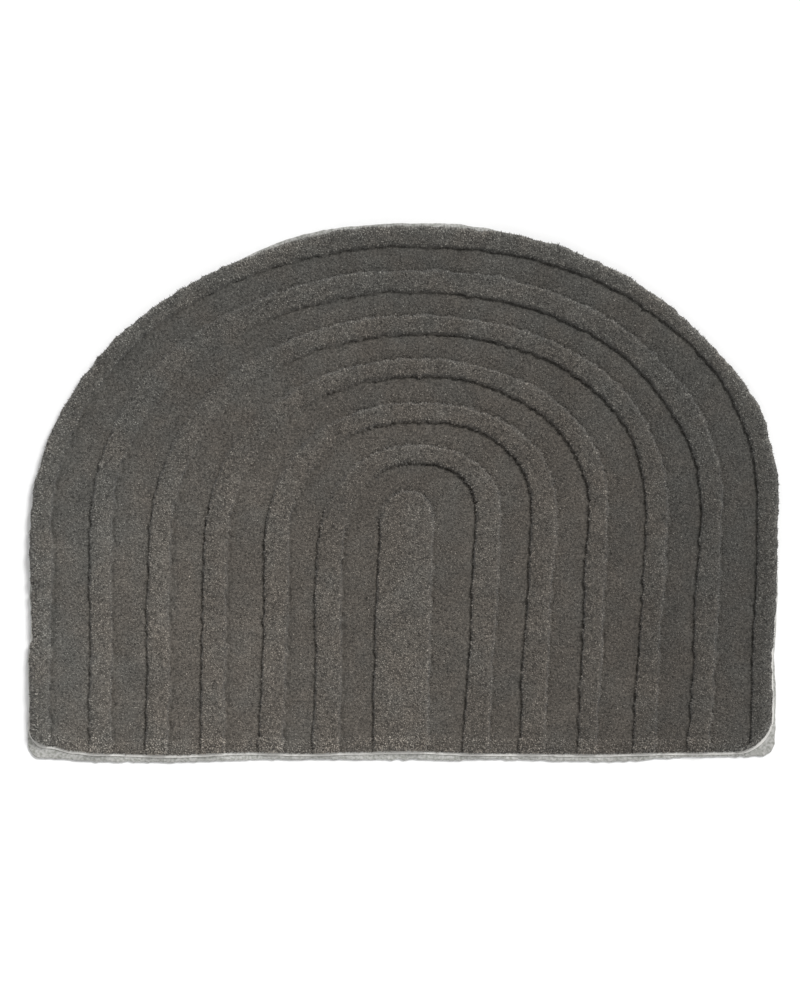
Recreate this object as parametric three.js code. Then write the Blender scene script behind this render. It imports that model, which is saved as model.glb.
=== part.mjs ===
// Doormat with a straight front edge and an arched back edge, hand tufted in dark grey wool.
// Millimetres, +Z up, the front edge towards -Y. It lies on Z = 0, and the origin is the middle
// of its footprint. Three layers lie on each other: felt backing, tufting canvas, wool pile.

import * as THREE from 'three';

// Heights above the floor, with the small gap between layers.
const GAP = 0.3;
const FELT_THICKNESS = 3;
const CANVAS_THICKNESS = 1.2;
const CANVAS_BOTTOM = FELT_THICKNESS + GAP;
const PILE_BOTTOM = CANVAS_BOTTOM + CANVAS_THICKNESS + GAP;
const GROOVE_TOP = 12;
const BAND_TOP = 17;
const BAND_CROWN = 0.5; // the middle of a band stands this much above its edges

// How uneven the pile's height is: one swell across the mat and one from front to back.
const SETTLE = 0.4;
const SETTLE_ACROSS = { length: 83, phase: 1.1 };
const SETTLE_BACK = { length: 67, phase: 0.4 };

// The plan is drawn from the middle of the front edge. Each edge of a raised band runs up a
// straight left leg, over an arch and down a right leg. left and right are the legs' distances
// from the middle, at LEG_LEVEL above the front edge, and crown is the arch's highest point.
// fullLeft and fullRight are the exponents of the arch's two halves: 2 is an ellipse, and more is
// fuller at the shoulder. springLeft and springRight are where a band's legs turn into the arch,
// leanLeft and leanRight how far a leg leans to the right over LEG_RUN, and phase sets where the
// band wavers.
const LEG_LEVEL = 142;
const LEG_RUN = 221;
const BANDS = {
  rim: {
    springLeft: 217, springRight: 224, leanLeft: 1, leanRight: 8, phase: 0.4,
    outer: { left: 349, right: 347.5, crown: 502, fullLeft: 2.08, fullRight: 1.99 },
    inner: { left: 330.5, right: 329.5, crown: 483.5, fullLeft: 2.11, fullRight: 2.06 },
  },
  first: {
    springLeft: 223, springRight: 221, leanLeft: 0, leanRight: 13, phase: 1.9,
    outer: { left: 291.5, right: 292.5, crown: 457, fullLeft: 2.1, fullRight: 2.04 },
    inner: { left: 274, right: 274.5, crown: 439.5, fullLeft: 2.1, fullRight: 2.03 },
  },
  second: {
    springLeft: 200, springRight: 221, leanLeft: 3, leanRight: 13, phase: 3.1,
    outer: { left: 237.5, right: 241, crown: 413, fullLeft: 2.14, fullRight: 2.14 },
    inner: { left: 219.5, right: 223.5, crown: 398.5, fullLeft: 2.16, fullRight: 2.17 },
  },
  third: {
    springLeft: 193, springRight: 221, leanLeft: 3, leanRight: 11, phase: 4.6,
    outer: { left: 186.5, right: 186, crown: 371, fullLeft: 2.14, fullRight: 2.15 },
    inner: { left: 167, right: 170, crown: 358, fullLeft: 2.16, fullRight: 2.15 },
  },
  fourth: {
    springLeft: 200, springRight: 221, leanLeft: 6, leanRight: 12, phase: 0.9,
    outer: { left: 129.5, right: 137, crown: 329, fullLeft: 2.15, fullRight: 2.3 },
    inner: { left: 109.5, right: 116.5, crown: 314.5, fullLeft: 2.2, fullRight: 2.35 },
  },
  fifth: {
    springLeft: 178, springRight: 224, leanLeft: 4, leanRight: 12, phase: 2.7,
    outer: { left: 80.5, right: 85.5, crown: 288.5, fullLeft: 2.15, fullRight: 2.2 },
    inner: { left: 59, right: 65, crown: 275.5, fullLeft: 2.2, fullRight: 2.2 },
  },
};
const TONGUE = {
  springLeft: 208, springRight: 216, leanLeft: 6, leanRight: 6, phase: 5.2,
  outer: { left: 24, right: 24.5, crown: 244.5, fullLeft: 2.2, fullRight: 2.2 },
};
const ARCH_LEAN = 0.05; // sideways to the right, for each millimetre above LEG_RUN
const SIDE_BLEND = 60; // the left side's lean turns into the right side's within this of the middle
const FLANK = 1.5; // how far a band's steep side reaches into the groove

// The rim's rounded outer side, from its foot up: inset from the outline and share of the height.
const RIM_SIDE = [
  { inset: 0, height: 0 },
  { inset: 0.3, height: 0.45 },
  { inset: 2.2, height: 0.85 },
  { inset: 6, height: 1 },
];

// The pile's front side, as rows behind the front edge, each with its share of the height.
const FRONT_ROWS = [
  { back: 0, height: 0 },
  { back: 1.2, height: 0.6 },
  { back: 4, height: 0.93 },
  { back: 9, height: 1 },
];
const LEG_ROWS = 10; // even rows from there to the spring
const ARCH_STEPS = 48;

// Hand-carved edges waver along their length, as two waves with their sizes and lengths. turn
// multiplies the band's phase.
const WAVES = [
  { size: 0.54, length: 31, turn: 1 },
  { size: 0.36, length: 17, turn: 2.3 },
];

// The outline was cut by hand and strays outwards and inwards. along runs from 0 at the left front
// corner round the arch to 1 at the right one.
const OUTLINE_DRIFT = [
  { along: 0, out: -1.5 },
  { along: 0.03, out: -1.5 },
  { along: 0.055, out: 0.8 },
  { along: 0.08, out: -1.7 },
  { along: 0.13, out: 0.9 },
  { along: 0.16, out: -0.5 },
  { along: 0.19, out: 0.4 },
  { along: 0.27, out: 0 },
  { along: 0.3, out: -1.3 },
  { along: 0.36, out: 0.2 },
  { along: 0.39, out: -0.9 },
  { along: 0.44, out: 1.2 },
  { along: 0.49, out: 1.9 },
  { along: 0.52, out: 0.6 },
  { along: 0.58, out: 1.8 },
  { along: 0.6, out: 0.8 },
  { along: 0.62, out: 1.7 },
  { along: 0.65, out: 0.5 },
  { along: 0.69, out: -2.4 },
  { along: 0.73, out: 0 },
  { along: 0.76, out: 3.7 },
  { along: 0.8, out: 1.8 },
  { along: 0.83, out: -0.4 },
  { along: 0.9, out: 1 },
  { along: 0.945, out: -0.8 },
  { along: 1, out: 0 },
];

// The pile's front edge wanders too, from the mat's left to its right. The wandering fades behind it.
const FRONT_EDGE = [
  { x: -340, y: 6.3 },
  { x: -330, y: 5.3 },
  { x: -307, y: 0.5 },
  { x: -288, y: -1.6 },
  { x: -215, y: -3.3 },
  { x: -145, y: -0.6 },
  { x: -90, y: -1.9 },
  { x: -45, y: -0.5 },
  { x: 5, y: 0.5 },
  { x: 70, y: -1.6 },
  { x: 180, y: -2.4 },
  { x: 250, y: -0.9 },
  { x: 340, y: 0.3 },
];
const FRONT_FADES = 60;

// Front corners of the pile. A corner draws in the lines within CORNER_REACH of the outline, and
// more of them only where it cuts deeper than that.
const PILE_CORNERS = { left: 16, right: 34 };
const CORNER_REACH = 17;
const CORNER_SQUEEZE = 0.94; // lines that meet at a corner keep a little room

// How far the canvas and the felt show beyond the pile's outline, as in OUTLINE_DRIFT, and where
// their front edges lie.
const CANVAS_FOLD = 3;
const CANVAS = {
  front: FRONT_EDGE.map(({ x, y }) => ({ x, y: y - CANVAS_FOLD })),
  corners: { left: 19, right: 36 },
  bevel: 0.4,
  reach: [
    { along: 0, out: 1.8 },
    { along: 0.07, out: 0.6 },
    { along: 0.14, out: -1.5 },
    { along: 0.86, out: -1.5 },
    { along: 0.93, out: 0.4 },
    { along: 1, out: 1.6 },
  ],
};
const FELT = {
  front: [
    { x: -345, y: -5.8 },
    { x: -316, y: -7.6 },
    { x: -288, y: -9.4 },
    { x: -220, y: -9.7 },
    { x: -130, y: -7.5 },
    { x: 10, y: -7.3 },
    { x: 45, y: -8.2 },
    { x: 85, y: -7.3 },
    { x: 185, y: -9.3 },
    { x: 215, y: -8.6 },
    { x: 240, y: -6.3 },
    { x: 270, y: -4.8 },
    { x: 309, y: -4.7 },
    { x: 340, y: -3.9 },
  ],
  corners: { left: 14, right: 12 },
  bevel: 0.5,
  reach: [
    { along: 0, out: 2.2 },
    { along: 0.05, out: 0.6 },
    { along: 0.1, out: 1.2 },
    { along: 0.16, out: -1 },
    { along: 0.36, out: -1 },
    { along: 0.42, out: 4 },
    { along: 0.52, out: 4 },
    { along: 0.58, out: -1 },
    { along: 0.83, out: -1 },
    { along: 0.9, out: 1 },
    { along: 1, out: 3.4 },
  ],
};
const CORNER_STEPS = 6;
const FRONT_STEPS = 48;

const WOOL_GREY = 0x5d5a55;
const CANVAS_GREY = 0xa9a8a4;
const FELT_GREY = 0x9b9a96;

const smooth = (value, low, high) => THREE.MathUtils.smoothstep(value, low, high);
const mix = (from, to, share) => THREE.MathUtils.lerp(from, to, share);

// A closed solid, built from shared corners. A face whose corners fall together is left out.
function newSolid() {
  const places = [];
  const known = new Map();
  const faces = [];
  const corner = (x, y, z) => {
    const key = [x, y, z].map((value) => value.toFixed(4)).join(' ');
    if (!known.has(key)) {
      known.set(key, known.size);
      places.push(x, y, z);
    }
    return known.get(key);
  };
  const face = (a, b, c) => {
    if (a !== b && b !== c && c !== a) faces.push(a, b, c);
  };
  const strip = (first, second) => {
    for (let i = 0; i + 1 < first.length; i += 1) {
      face(first[i], second[i], second[i + 1]);
      face(first[i], second[i + 1], first[i + 1]);
    }
  };
  const fan = (middle, ring) => {
    ring.forEach((number, i) => face(middle, number, ring[(i + 1) % ring.length]));
  };
  const geometry = () => {
    const made = new THREE.BufferGeometry();
    made.setAttribute('position', new THREE.Float32BufferAttribute(places, 3));
    made.setIndex(faces);
    made.computeVertexNormals();
    return made;
  };
  return { corner, strip, fan, geometry };
}

// The stations along every edge, from the left front corner round to the right one. A station on
// a leg has back, its distance behind the front edge, or share, how far it is from the last front
// row to the spring. A station on the arch has its angle, from the left.
function stations() {
  const leg = FRONT_ROWS.map(({ back, height }) => ({ back, height }));
  for (let i = 1; i < LEG_ROWS; i += 1) leg.push({ share: i / LEG_ROWS, height: 1 });
  const arch = [];
  for (let i = 0; i <= ARCH_STEPS; i += 1) {
    arch.push({ side: 0, angle: Math.PI * i / ARCH_STEPS, height: 1 });
  }
  return [
    ...leg.map((row) => ({ ...row, side: -1 })),
    ...arch,
    ...leg.toReversed().map((row) => ({ ...row, side: 1 })),
  ];
}

// A number of one column, read from a table at the value of its first column.
function readTable(rows, value) {
  const [at, column] = Object.keys(rows[0]);
  const next = rows.findIndex((row) => row[at] >= value);
  if (next === 0) return rows[0][column];
  if (next < 0) return rows.at(-1)[column];
  const [low, high] = [rows[next - 1], rows[next]];
  return mix(low[column], high[column], smooth(value, low[at], high[at]));
}

// A line of the plan: one edge of a band, moved outwards by out.
function lineOf(band, edge, out = 0) {
  const { springLeft, springRight, leanLeft, leanRight, phase } = band;
  const { left, right, crown } = edge;
  const moved = { ...edge, left: left + out, right: right + out, crown: crown + out };
  const drifts = edge === BANDS.rim.outer;
  return { ...moved, springLeft, springRight, leanLeft, leanRight, phase, drifts };
}

// How far behind the front edge a leg's station lies.
function backOf(station, spring) {
  if (station.share === undefined) return station.back;
  return mix(FRONT_ROWS.at(-1).back, spring, station.share);
}

// How far along a line a station lies, in millimetres.
function distanceAlong(station, line) {
  const up = line.springLeft;
  const around = Math.PI * (line.left + line.crown - up) / 2;
  if (station.side < 0) return backOf(station, up);
  if (station.side > 0) return up + around + line.springRight - backOf(station, line.springRight);
  return up + around * station.angle / Math.PI;
}

function waver(distance, phase) {
  return WAVES.reduce(
    (sum, { size, length, turn }) => sum + size * Math.sin(distance / length + turn * phase),
    0,
  );
}

// How far a line strays outwards at a station.
function strayOf(line, station) {
  if (line.left === 0) return 0;
  const distance = distanceAlong(station, line);
  const whole = distanceAlong({ side: 1, back: 0 }, line);
  const drift = line.drifts ? readTable(OUTLINE_DRIFT, distance / whole) : 0;
  return waver(distance, line.phase) + drift;
}

// The place of a station on a line of the plan.
function placeOn(line, station) {
  const onLeft = station.side < 0 || (station.side === 0 && station.angle < Math.PI / 2);
  const wave = strayOf(line, station);
  const width = (onLeft ? line.left : line.right) + wave;
  const spring = onLeft ? line.springLeft : line.springRight;
  const rise = line.crown - spring + wave;
  const power = 2 / (onLeft ? line.fullLeft : line.fullRight);
  const across = station.side === 0 ? Math.abs(Math.cos(station.angle)) ** power : 1;
  const up = station.side === 0 ? Math.abs(Math.sin(station.angle)) ** power : 0;
  const x = (onLeft ? -width : width) * across;
  const y = station.side === 0 ? spring + rise * up : backOf(station, spring);
  const lean = mix(line.leanLeft, line.leanRight, smooth(x, -SIDE_BLEND, SIDE_BLEND));
  const legLean = lean * (Math.min(y, LEG_RUN) - LEG_LEVEL) / LEG_RUN;
  return new THREE.Vector2(x + legLean + ARCH_LEAN * Math.max(y - LEG_RUN, 0), y);
}

// Pulls a point in where the outline turns the front corner.
function roundCorner(point, outlineX) {
  const radius = outlineX < 0 ? PILE_CORNERS.left : PILE_CORNERS.right;
  if (point.y >= radius) return;
  const pull = radius - Math.sqrt(radius ** 2 - (radius - point.y) ** 2);
  const reach = Math.max(CORNER_REACH, pull / CORNER_SQUEEZE);
  const inset = Math.abs(outlineX) - Math.abs(point.x);
  point.x -= Math.sign(point.x) * pull * Math.max(1 - inset / reach, 0);
}

function shiftFront(point) {
  const share = Math.max(1 - point.y / FRONT_FADES, 0);
  point.y += share * readTable(FRONT_EDGE, point.x);
}

// The lines of the pile's surface from the outline to the middle, each with its height.
function pileLines() {
  const lines = [];
  const add = (line, z) => lines.push({ ...line, z });
  const midEdge = ({ outer, inner }) => Object.fromEntries(
    Object.keys(outer).map((column) => [column, (outer[column] + inner[column]) / 2]),
  );
  Object.values(BANDS).forEach((band) => {
    if (band === BANDS.rim) {
      RIM_SIDE.forEach(({ inset, height }) => {
        add(lineOf(band, band.outer, -inset), mix(PILE_BOTTOM, BAND_TOP, height));
      });
    } else {
      add(lineOf(band, band.outer, FLANK), GROOVE_TOP);
      add(lineOf(band, band.outer), BAND_TOP);
    }
    add(lineOf(band, midEdge(band)), BAND_TOP + BAND_CROWN);
    add(lineOf(band, band.inner), BAND_TOP);
    add(lineOf(band, band.inner, -FLANK), GROOVE_TOP);
  });
  add(lineOf(TONGUE, TONGUE.outer, FLANK), GROOVE_TOP);
  add(lineOf(TONGUE, TONGUE.outer), BAND_TOP);
  const heart = (TONGUE.springLeft + TONGUE.springRight) / 2;
  const middleLine = { left: 0, right: 0, crown: heart, fullLeft: 2, fullRight: 2 };
  const middleLegs = { ...TONGUE, springLeft: heart, springRight: heart };
  add(lineOf(middleLegs, middleLine), BAND_TOP + BAND_CROWN);
  return lines;
}

function settle(x, y) {
  const across = Math.sin(x / SETTLE_ACROSS.length + SETTLE_ACROSS.phase);
  return SETTLE * across * Math.sin(y / SETTLE_BACK.length + SETTLE_BACK.phase);
}

// Wool pile with its carved relief.
function pileGeometry() {
  const solid = newSolid();
  const lines = pileLines();
  const columns = stations().map((station) => {
    const outlineX = placeOn(lines[0], station).x;
    return lines.map((line) => {
      const point = placeOn(line, station);
      roundCorner(point, outlineX);
      shiftFront(point);
      const uneven = line.z > PILE_BOTTOM ? settle(point.x, point.y) : 0;
      const height = (line.z + uneven - PILE_BOTTOM) * station.height;
      return solid.corner(point.x, point.y, PILE_BOTTOM + height);
    });
  });
  for (let i = 0; i + 1 < columns.length; i += 1) solid.strip(columns[i + 1], columns[i]);
  const underside = [
    ...columns.map((column) => column[0]),
    ...columns.at(-1).slice(1, -1),
    ...columns[0].slice(1).toReversed(),
  ];
  solid.fan(solid.corner(0, LEG_RUN / 2, PILE_BOTTOM), underside);
  return solid.geometry();
}

// Outline of a layer under the pile, clockwise from the left front corner.
function layerOutline(layer) {
  const { rim } = BANDS;
  const edge = lineOf(rim, rim.outer);
  const whole = distanceAlong({ side: 1, back: 0 }, edge);
  const cornerTop = { left: layer.corners.left + layer.front[0].y };
  cornerTop.right = layer.corners.right + layer.front.at(-1).y;
  const sides = stations()
    .map((station) => {
      const out = readTable(layer.reach, distanceAlong(station, edge) / whole);
      return placeOn(lineOf(rim, rim.outer, out), station);
    })
    .filter((point) => point.y >= (point.x < 0 ? cornerTop.left : cornerTop.right));
  const turn = (end, side, corner) => {
    const arc = [];
    const low = readTable(layer.front, end.x - side * corner);
    for (let i = 1; i <= CORNER_STEPS; i += 1) {
      const angle = Math.PI / 2 * i / CORNER_STEPS;
      const x = end.x - side * corner * (1 - Math.cos(angle));
      arc.push(new THREE.Vector2(x, mix(end.y, low, Math.sin(angle))));
    }
    return arc;
  };
  const right = turn(sides.at(-1), 1, layer.corners.right);
  const left = turn(sides[0], -1, layer.corners.left).toReversed();
  const front = [];
  for (let i = 1; i < FRONT_STEPS; i += 1) {
    const point = right.at(-1).clone().lerp(left[0], i / FRONT_STEPS);
    front.push(point.setY(readTable(layer.front, point.x)));
  }
  return [...sides, ...right, ...front, ...left];
}

// A flat layer with softened edges.
function layerGeometry(layer, bottom, thickness) {
  const solid = newSolid();
  const outline = layerOutline(layer);
  const middle = new THREE.Vector2(0, LEG_RUN / 2);
  const ring = (inset, z) => outline.map((point) => {
    const away = point.clone().sub(middle);
    const place = middle.clone().add(away.setLength(away.length() - inset));
    return solid.corner(place.x, place.y, z);
  });
  const top = bottom + thickness;
  const rings = [
    ring(layer.bevel, bottom),
    ring(0, bottom + layer.bevel),
    ring(0, top - layer.bevel),
    ring(layer.bevel, top),
  ];
  solid.fan(solid.corner(middle.x, middle.y, bottom), rings[0]);
  solid.fan(solid.corner(middle.x, middle.y, top), rings.at(-1).toReversed());
  for (let i = 0; i + 1 < rings.length; i += 1) {
    solid.strip([...rings[i], rings[i][0]], [...rings[i + 1], rings[i + 1][0]]);
  }
  return solid.geometry();
}

function layerMesh(name, geometry, color, roughness) {
  const material = new THREE.MeshStandardMaterial({ color, roughness, metalness: 0 });
  const mesh = new THREE.Mesh(geometry, material);
  mesh.name = name;
  return mesh;
}

const mat = new THREE.Group();
mat.add(
  layerMesh('pile', pileGeometry(), WOOL_GREY, 1),
  layerMesh('canvas_edge', layerGeometry(CANVAS, CANVAS_BOTTOM, CANVAS_THICKNESS), CANVAS_GREY, 0.9),
  layerMesh('felt_backing', layerGeometry(FELT, 0, FELT_THICKNESS), FELT_GREY, 0.95),
);
const middle = new THREE.Box3().setFromObject(mat).getCenter(new THREE.Vector3());
mat.children.forEach((mesh) => mesh.position.set(-middle.x, -middle.y, 0));

export default mat;
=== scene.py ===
# Doormat in hand-tufted dark grey wool, straight in front and arched at the back. The frame is in
# metres. The plan is drawn in millimetres, from the middle of the pile's front edge.

import math

import bpy
import numpy as np
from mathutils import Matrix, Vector
from mathutils.bvhtree import BVHTree


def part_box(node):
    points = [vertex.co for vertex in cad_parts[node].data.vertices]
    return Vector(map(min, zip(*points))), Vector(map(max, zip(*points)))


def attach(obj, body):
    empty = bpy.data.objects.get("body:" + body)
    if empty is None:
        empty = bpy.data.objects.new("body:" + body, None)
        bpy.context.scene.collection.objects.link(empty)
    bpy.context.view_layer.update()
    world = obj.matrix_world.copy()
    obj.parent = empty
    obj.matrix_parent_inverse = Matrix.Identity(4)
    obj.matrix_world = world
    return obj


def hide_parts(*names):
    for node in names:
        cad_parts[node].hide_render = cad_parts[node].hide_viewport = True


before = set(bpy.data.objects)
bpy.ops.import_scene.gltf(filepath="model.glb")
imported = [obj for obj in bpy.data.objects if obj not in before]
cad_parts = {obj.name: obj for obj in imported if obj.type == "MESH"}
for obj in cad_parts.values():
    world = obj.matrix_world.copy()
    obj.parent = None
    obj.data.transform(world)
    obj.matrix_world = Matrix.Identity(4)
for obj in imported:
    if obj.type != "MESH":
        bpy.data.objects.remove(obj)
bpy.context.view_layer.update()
MM = 0.001


# Felt backing. Pale speckled needled felt, 3 mm thick, glued under the whole mat and cut a little
# larger than it. It shows as a strip in front, at both front corners, and as slivers at the sides.

# Each edge of a raised band runs up a straight left leg, over an arch and down a right leg. Pairs
# are (left, right). width is a leg's distance from the middle, at LEG_LEVEL behind the front edge,
# crown is the arch's highest point, and full is the exponent of each half of the arch. spring is
# where the legs turn into the arch, lean how far a leg leans to the right over LEG_RUN, and phase
# sets where the band wavers. The rim's edges are here, because the layers under it follow them.
LEG_LEVEL = 142
LEG_RUN = 221
RIM = dict(
    spring=(217, 224), lean=(1, 8), phase=0.4,
    outer=dict(width=(349, 347.5), crown=502, full=(2.08, 1.99)),
    inner=dict(width=(330.5, 329.5), crown=483.5, full=(2.11, 2.06)),
)
ARCH_LEAN = 0.05  # how far the arch leans to the right for each millimetre past LEG_RUN
SIDE_BLEND = 60  # past this far from the middle a side has its own lean in full
FRONT_DEPTH = 9  # how far behind the front edge the pile reaches its full height
WAVES = [dict(size=0.54, length=31, turn=1), dict(size=0.36, length=17, turn=2.3)]
OUTLINE_STEPS = (70, 300)  # up each leg, and over the arch

# The outline was cut by hand. Rows of (share of the way round from the left front corner, how far
# it strays outwards), and for the pile's front edge of (x, y).
OUTLINE_DRIFT = [
    (0, -1.5), (0.03, -1.5), (0.055, 0.8), (0.08, -1.7), (0.13, 0.9), (0.16, -0.5), (0.19, 0.4),
    (0.27, 0), (0.3, -1.3), (0.36, 0.2), (0.39, -0.9), (0.44, 1.2), (0.49, 1.9), (0.52, 0.6),
    (0.58, 1.8), (0.6, 0.8), (0.62, 1.7), (0.65, 0.5), (0.69, -2.4), (0.73, 0), (0.76, 3.7),
    (0.8, 1.8), (0.83, -0.4), (0.9, 1), (0.945, -0.8), (1, 0),
]
FRONT_EDGE = [
    (-340, 6.3), (-330, 5.3), (-307, 0.5), (-288, -1.6), (-215, -3.3), (-145, -0.6), (-90, -1.9),
    (-45, -0.5), (5, 0.5), (70, -1.6), (180, -2.4), (250, -0.9), (340, 0.3),
]


def mix(low, high, share):
    return low + (high - low) * share


def smooth(value, low, high):
    """0 up to low, 1 from high on, and eased between them."""
    share = np.clip((value - low) / (high - low), 0, 1)
    return share * share * (3 - 2 * share)


def read_table(rows, value):
    """The second number of a table's rows, eased between the rows that value lies between."""
    place, number = np.array(rows).T
    part = np.clip(np.searchsorted(place, value), 1, len(place) - 1)
    return mix(number[part - 1], number[part], smooth(value, place[part - 1], place[part]))


def walk_round(fronts, leg_steps, arch_steps):
    """Stations from the left front corner, up the left leg, over the arch and down the right leg.
    A leg's station lies back behind the front edge, and share of the way from there to the spring."""
    back = np.concatenate([fronts, np.full(leg_steps - 1, FRONT_DEPTH)])
    share = np.concatenate([np.zeros(len(fronts)), np.arange(1, leg_steps) / leg_steps])
    angle = np.linspace(0, np.pi, arch_steps + 1)
    flat = np.zeros(len(angle))
    return dict(
        side=np.concatenate([np.full(len(back), -1), flat, np.full(len(back), 1)]),
        back=np.concatenate([back, flat, back[::-1]]),
        share=np.concatenate([share, flat, share[::-1]]),
        angle=np.concatenate([np.zeros(len(back)), angle, np.full(len(back), np.pi)]),
    )


def waver(along, phase):
    return sum(w["size"] * np.sin(along / w["length"] + w["turn"] * phase) for w in WAVES)


def place_on(band, edge, walk, out=0):
    """Where the stations lie on one edge of a band, moved outwards by out, and how far along it."""
    side, angle = walk["side"], walk["angle"]
    left, right = (width + out for width in edge["width"])
    crown = edge["crown"] + out
    on_left = (side < 0) | ((side == 0) & (angle < np.pi / 2))
    spring = np.where(on_left, *band["spring"])
    around = np.pi * (left + crown - band["spring"][0]) / 2
    back = walk["back"] + walk["share"] * (spring - walk["back"])
    on_arch = band["spring"][0] + around * angle / np.pi
    past_leg = np.where(side > 0, on_arch + band["spring"][1] - back, on_arch)
    along = np.where(side < 0, back, past_leg)
    wave = waver(along, band["phase"]) * (edge["width"][0] > 0)
    if edge is RIM["outer"]:
        wave = wave + read_table(OUTLINE_DRIFT, along / along[-1])
    power = 2 / np.where(on_left, *edge["full"])
    across = np.where(side == 0, np.abs(np.cos(angle)) ** power, 1)
    up = np.abs(np.sin(angle)) ** power
    x = np.where(on_left, -left - wave, right + wave) * across
    y = np.where(side == 0, spring + (crown - spring + wave) * up, back)
    lean = mix(*band["lean"], smooth(x, -SIDE_BLEND, SIDE_BLEND))
    x = x + lean * (np.minimum(y, LEG_RUN) - LEG_LEVEL) / LEG_RUN
    return np.stack([x + ARCH_LEAN * np.maximum(y - LEG_RUN, 0), y], 1), along


OUTLINE_WALK = walk_round(np.array([0.0]), *OUTLINE_STEPS)
RIM_PLACES, RIM_ALONG = place_on(RIM, RIM["outer"], OUTLINE_WALK)

# The plan's middle comes to the middle of the pile's node.
pile_low, pile_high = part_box("pile")
foremost = min(y for x, y in FRONT_EDGE)
PLAN_MIDDLE = (np.minimum(RIM_PLACES.min(0), foremost) + RIM_PLACES.max(0)) / 2
PLAN_SHIFT = np.array((pile_low + pile_high)[:2]) / 2 / MM - PLAN_MIDDLE

CORNER_POINTS = 14
FRONT_POINTS = 400
CALM_REACH = 3  # points each way that calm an outline, so that its insets run straight


def layer_outline(layer):
    """A layer's outline, clockwise from the left front corner, with a ragged cut."""
    reach = read_table(layer["reach"], RIM_ALONG / RIM_ALONG[-1])
    places, _ = place_on(RIM, RIM["outer"], OUTLINE_WALK, reach)
    ends = (layer["front"][0][1], layer["front"][-1][1])
    corner_top = np.where(places[:, 0] < 0, *np.add(layer["corners"], ends))
    places = places[places[:, 1] >= corner_top]
    turn = np.linspace(0, np.pi / 2, CORNER_POINTS)[1:]

    def turned(end, side, radius):
        x = end[0] - side * radius * (1 - np.cos(turn))
        low = read_table(layer["front"], end[0] - side * radius)
        return np.stack([x, mix(end[1], low, np.sin(turn))], 1)

    right = turned(places[-1], 1, layer["corners"][1])
    left = turned(places[0], -1, layer["corners"][0])[::-1]
    front = np.linspace(right[-1], left[0], FRONT_POINTS)[1:-1]
    front[:, 1] = read_table(layer["front"], front[:, 0])
    outline = np.concatenate([places, right, front, left])
    rough = np.random.default_rng(layer["seed"]).normal(size=len(outline))
    rough = rough + np.roll(rough, 1) + np.roll(rough, 2)
    return outline + inwards(outline) * rough[:, None] * layer["ragged"]


def inwards(outline):
    """Unit directions from a clockwise outline towards its inside."""
    run = np.roll(outline, -1, 0) - np.roll(outline, 1, 0)
    inside = np.stack([run[:, 1], -run[:, 0]], 1)
    return inside / np.linalg.norm(inside, axis=1)[:, None]


def new_piece(name, places, faces, material):
    """A smooth mesh of places in the plan's millimetres, which rides on the mat."""
    mesh = bpy.data.meshes.new(name)
    places = places + np.array([*PLAN_SHIFT, 0])
    mesh.from_pydata(places * MM, [], faces)
    mesh.shade_smooth()
    mesh.materials.append(material)
    piece = bpy.data.objects.new(name, mesh)
    bpy.context.scene.collection.objects.link(piece)
    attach(piece, "root")
    return piece


def layer_piece(name, node, layer, outline, material):
    """A flat layer at its node's height, in rings from the underside over the edge to the top."""
    bottom, top = (corner.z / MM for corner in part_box(node))
    rings = [(inset, bottom + rise) for inset, rise in layer["under"]]
    rings += [(inset, top - drop) for inset, drop in layer["over"]]
    steps = range(-CALM_REACH, CALM_REACH + 1)
    calm = sum(np.roll(outline, step, 0) for step in steps) / len(steps)
    inside, count = inwards(calm), len(outline)
    stack = [np.c_[outline + inside * inset, np.full(count, height)] for inset, height in rings]
    middles = [[0, LEG_RUN / 2, rings[0][1]], [0, LEG_RUN / 2, rings[-1][1]]]
    here, after = np.arange(count), np.roll(np.arange(count), -1)
    faces = []
    for ring in range(len(rings) - 1):
        low, high = ring * count, (ring + 1) * count
        faces += np.stack([here + low, here + high, after + high, after + low], 1).tolist()
    under, over = len(rings) * count, len(rings) * count + 1
    last = (len(rings) - 1) * count
    faces += np.stack([after, np.full(count, under), here], 1).tolist()
    faces += np.stack([here + last, np.full(count, over), after + last], 1).tolist()
    return new_piece(name, np.concatenate([*stack, middles]), faces, material)


def add_node(tree, kind, inputs=None, **settings):
    """A shader node with its settings, its inputs linked or set by name or number."""
    node = tree.nodes.new("ShaderNode" + kind)
    for name, value in settings.items():
        setattr(node, name, value)
    for name, value in (inputs or {}).items():
        if isinstance(value, bpy.types.NodeSocket):
            tree.links.new(value, node.inputs[name])
        else:
            node.inputs[name].default_value = value
    return node


def maths(tree, operation, *values):
    return add_node(tree, "Math", dict(enumerate(values)), operation=operation).outputs[0]


def blotches(tree, size, detail=2):
    """Noise on the mat's own coordinates, its blotches about size millimetres across."""
    place = add_node(tree, "TexCoord").outputs["Object"]
    inputs = {"Vector": place, "Scale": 1 / (size * MM), "Detail": detail}
    return add_node(tree, "TexNoise", inputs).outputs[0]


def between(tree, value, low, high, start=0.35, end=0.65):
    """value, from start to end, made a number from low to high."""
    inputs = dict(enumerate([value, start, end, low, high]))
    return add_node(tree, "MapRange", inputs).outputs[0]


def blend_colours(tree, share, first, second, way="MIX"):
    inputs = {0: share, 6: first, 7: second}
    node = add_node(tree, "Mix", inputs, data_type="RGBA", blend_type=way, clamp_result=False)
    return node.outputs[2]


def shaded(tree, colour, factor):
    return blend_colours(tree, 1.0, colour, factor, "MULTIPLY")


def linear(red, green, blue, gamma=2.2):
    """A screen colour of 0 to 255 as the linear one that a shader takes."""
    return (*((np.array([red, green, blue]) / 255) ** gamma), 1)


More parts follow.
